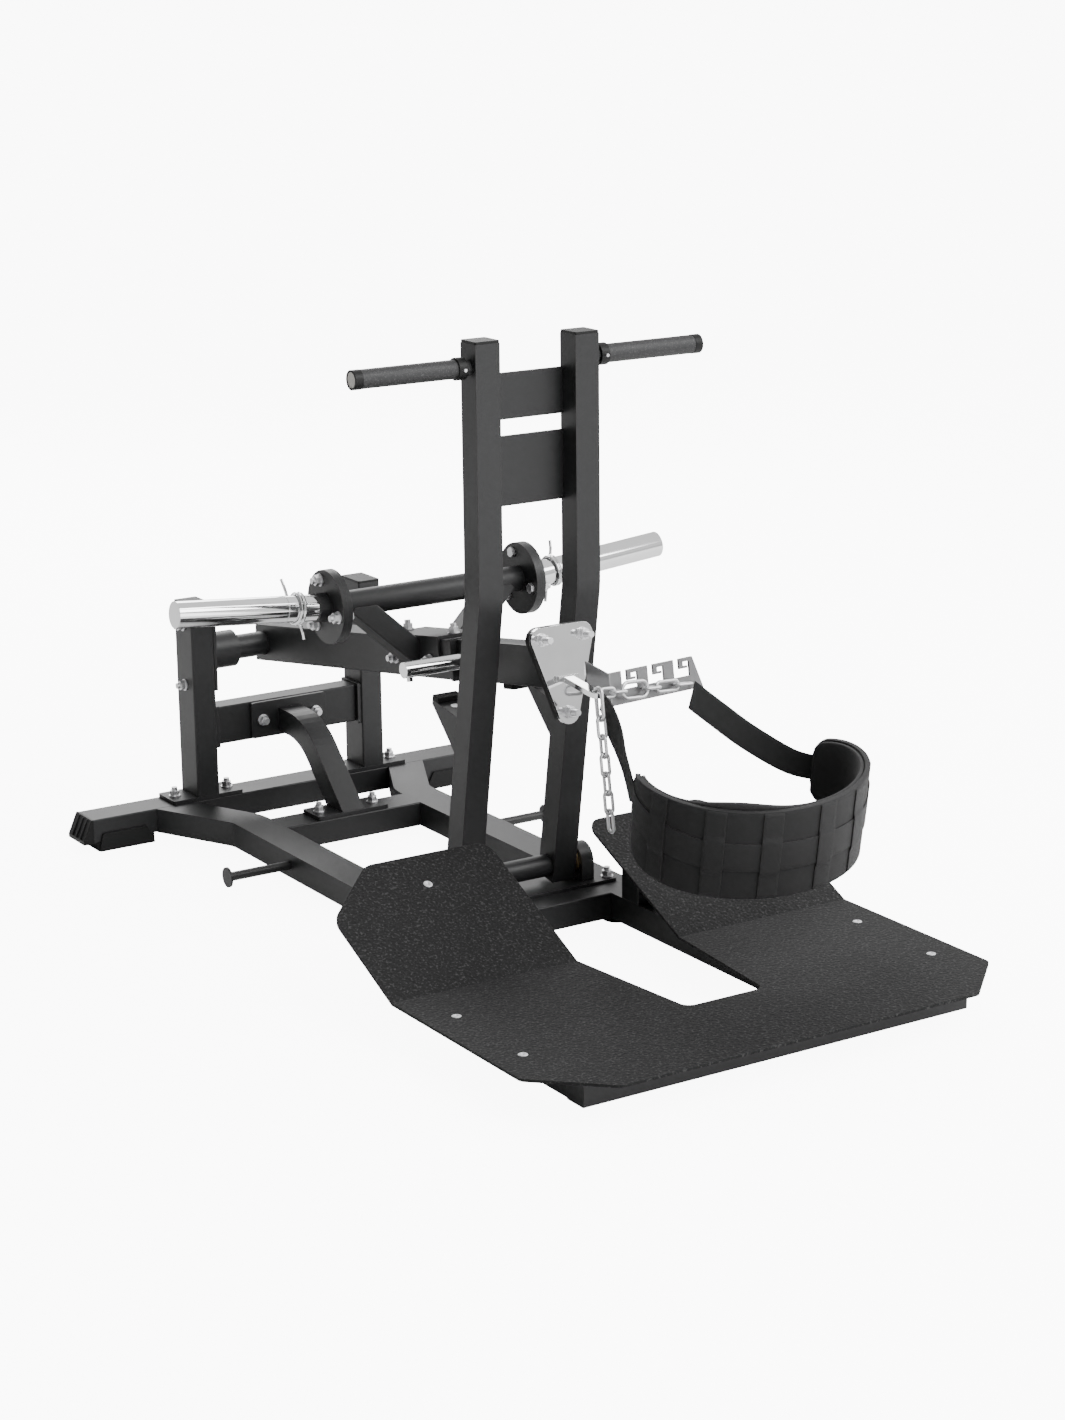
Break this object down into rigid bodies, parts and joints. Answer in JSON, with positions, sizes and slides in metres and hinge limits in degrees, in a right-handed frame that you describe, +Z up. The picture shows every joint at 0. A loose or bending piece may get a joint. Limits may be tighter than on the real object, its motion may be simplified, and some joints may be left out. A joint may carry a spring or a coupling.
{
  "type": "belt squat machine",
  "caption": "Plate-loaded belt squat machine with a lever arm, a tilting catch tower with handles, a slotted foot plate and a hip belt on the arm's hook.",
  "frame": {"origin": "centre of the bounding box at floor level, under the rubber feet", "axes": "+Z up, +Y towards the rear beam and the arm's pivot, -Y towards the lifter's foot plate, +X to the right of a lifter who faces the tower"},
  "size_m": [1.0646, 1.849, 1.1255],
  "materials": {
    "powder_coat": "fine textured charcoal powder coat",
    "grit_coat": "gritty non-slip coating",
    "chrome": "bright",
    "zinc": "zinc plated",
    "brass": "satin",
    "rubber": "matt",
    "black_plastic": "satin black",
    "belt_fabric": "black woven nylon"
  },
  "bodies": {
    "base": {"rear_beam": "powder_coat", "beam_end_caps": "black_plastic", "rear_feet": "rubber", "front_feet": "rubber", "left_rail": "powder_coat", "right_rail": "powder_coat", "mid_cross_member": "powder_coat", "front_cross_member": "powder_coat", "platform_frame": "powder_coat", "wing_legs": "powder_coat", "foot_plate": "grit_coat", "plate_screws": "zinc", "band_pegs": "powder_coat", "left_post": "powder_coat", "right_post": "powder_coat", "post_caps": "black_plastic", "mounting_plates": "powder_coat", "stand_cross_beam": "powder_coat", "brace": "powder_coat", "frame_bolts": "zinc", "pivot_housings": "powder_coat", "pivot_bearings": "zinc", "tower_base_plate": "powder_coat", "tower_bearing_blocks": "powder_coat", "tower_shaft": "zinc"},
    "arm": {"arm_shaft": "zinc", "arm_pivot_tube": "powder_coat", "arm_rear_tube": "powder_coat", "arm_front_tube": "powder_coat", "arm_joint_plate": "powder_coat", "arm_bolts": "zinc", "arm_bumper": "rubber", "horn_cross_tube": "powder_coat", "horn_struts": "powder_coat", "strut_saddle": "powder_coat", "sleeve_flanges": "powder_coat", "left_sleeve": "chrome", "right_sleeve": "chrome", "catch_pin": "chrome", "hook_backing_plate": "black_plastic", "hook_plate": "chrome", "hook_bar": "chrome", "hook_rack": "chrome", "rack_chain": "zinc"},
    "left_collar": {"left_spring_collar": "chrome"},
    "right_collar": {"right_spring_collar": "chrome"},
    "tower": {"left_upright": "powder_coat", "right_upright": "powder_coat", "upright_caps": "black_plastic", "tower_plates": "powder_coat", "handles": "powder_coat", "handle_fittings": "black_plastic", "catch_brackets": "powder_coat", "catch_pads": "rubber", "tower_screws": "zinc", "tower_pivot_tube": "powder_coat", "tower_bushes": "brass"},
    "chain": {"chain": "zinc"},
    "belt": {"hip_belt": "belt_fabric", "belt_straps": "belt_fabric"}
  },
  "joints": [
    {"name": "arm_pivot", "type": "hinge", "parent": "base", "child": "arm", "pos_m": [0, 0.8865, 0.372], "axis": [-1, 0, 0], "range_deg": [-2.5, 12]},
    {"name": "tower_tilt", "type": "hinge", "parent": "base", "child": "tower", "pos_m": [0, -0.0185, 0.108], "axis": [-1, 0, 0], "range_deg": [0, 9]},
    {"name": "right_collar_slide", "type": "slide", "parent": "arm", "child": "right_collar", "axis": [0.9962, 0.0136, 0.0861], "range_m": [-0.02, 0.22]},
    {"name": "left_collar_slide", "type": "slide", "parent": "arm", "child": "left_collar", "axis": [-0.9962, 0.0136, 0.0861], "range_m": [-0.02, 0.22]},
    {"name": "belt_swing", "type": "hinge", "parent": "arm", "child": "belt", "pos_m": [0, -0.3084, 0.5159], "axis": [-0.9373, -0.2581, 0.2341], "range_deg": [-4, 8]},
    {"name": "chain_swing", "type": "hinge", "parent": "arm", "child": "chain", "pos_m": [0, -0.3084, 0.5159], "axis": [-1, 0, 0], "range_deg": [-15, 8]}
  ]
}
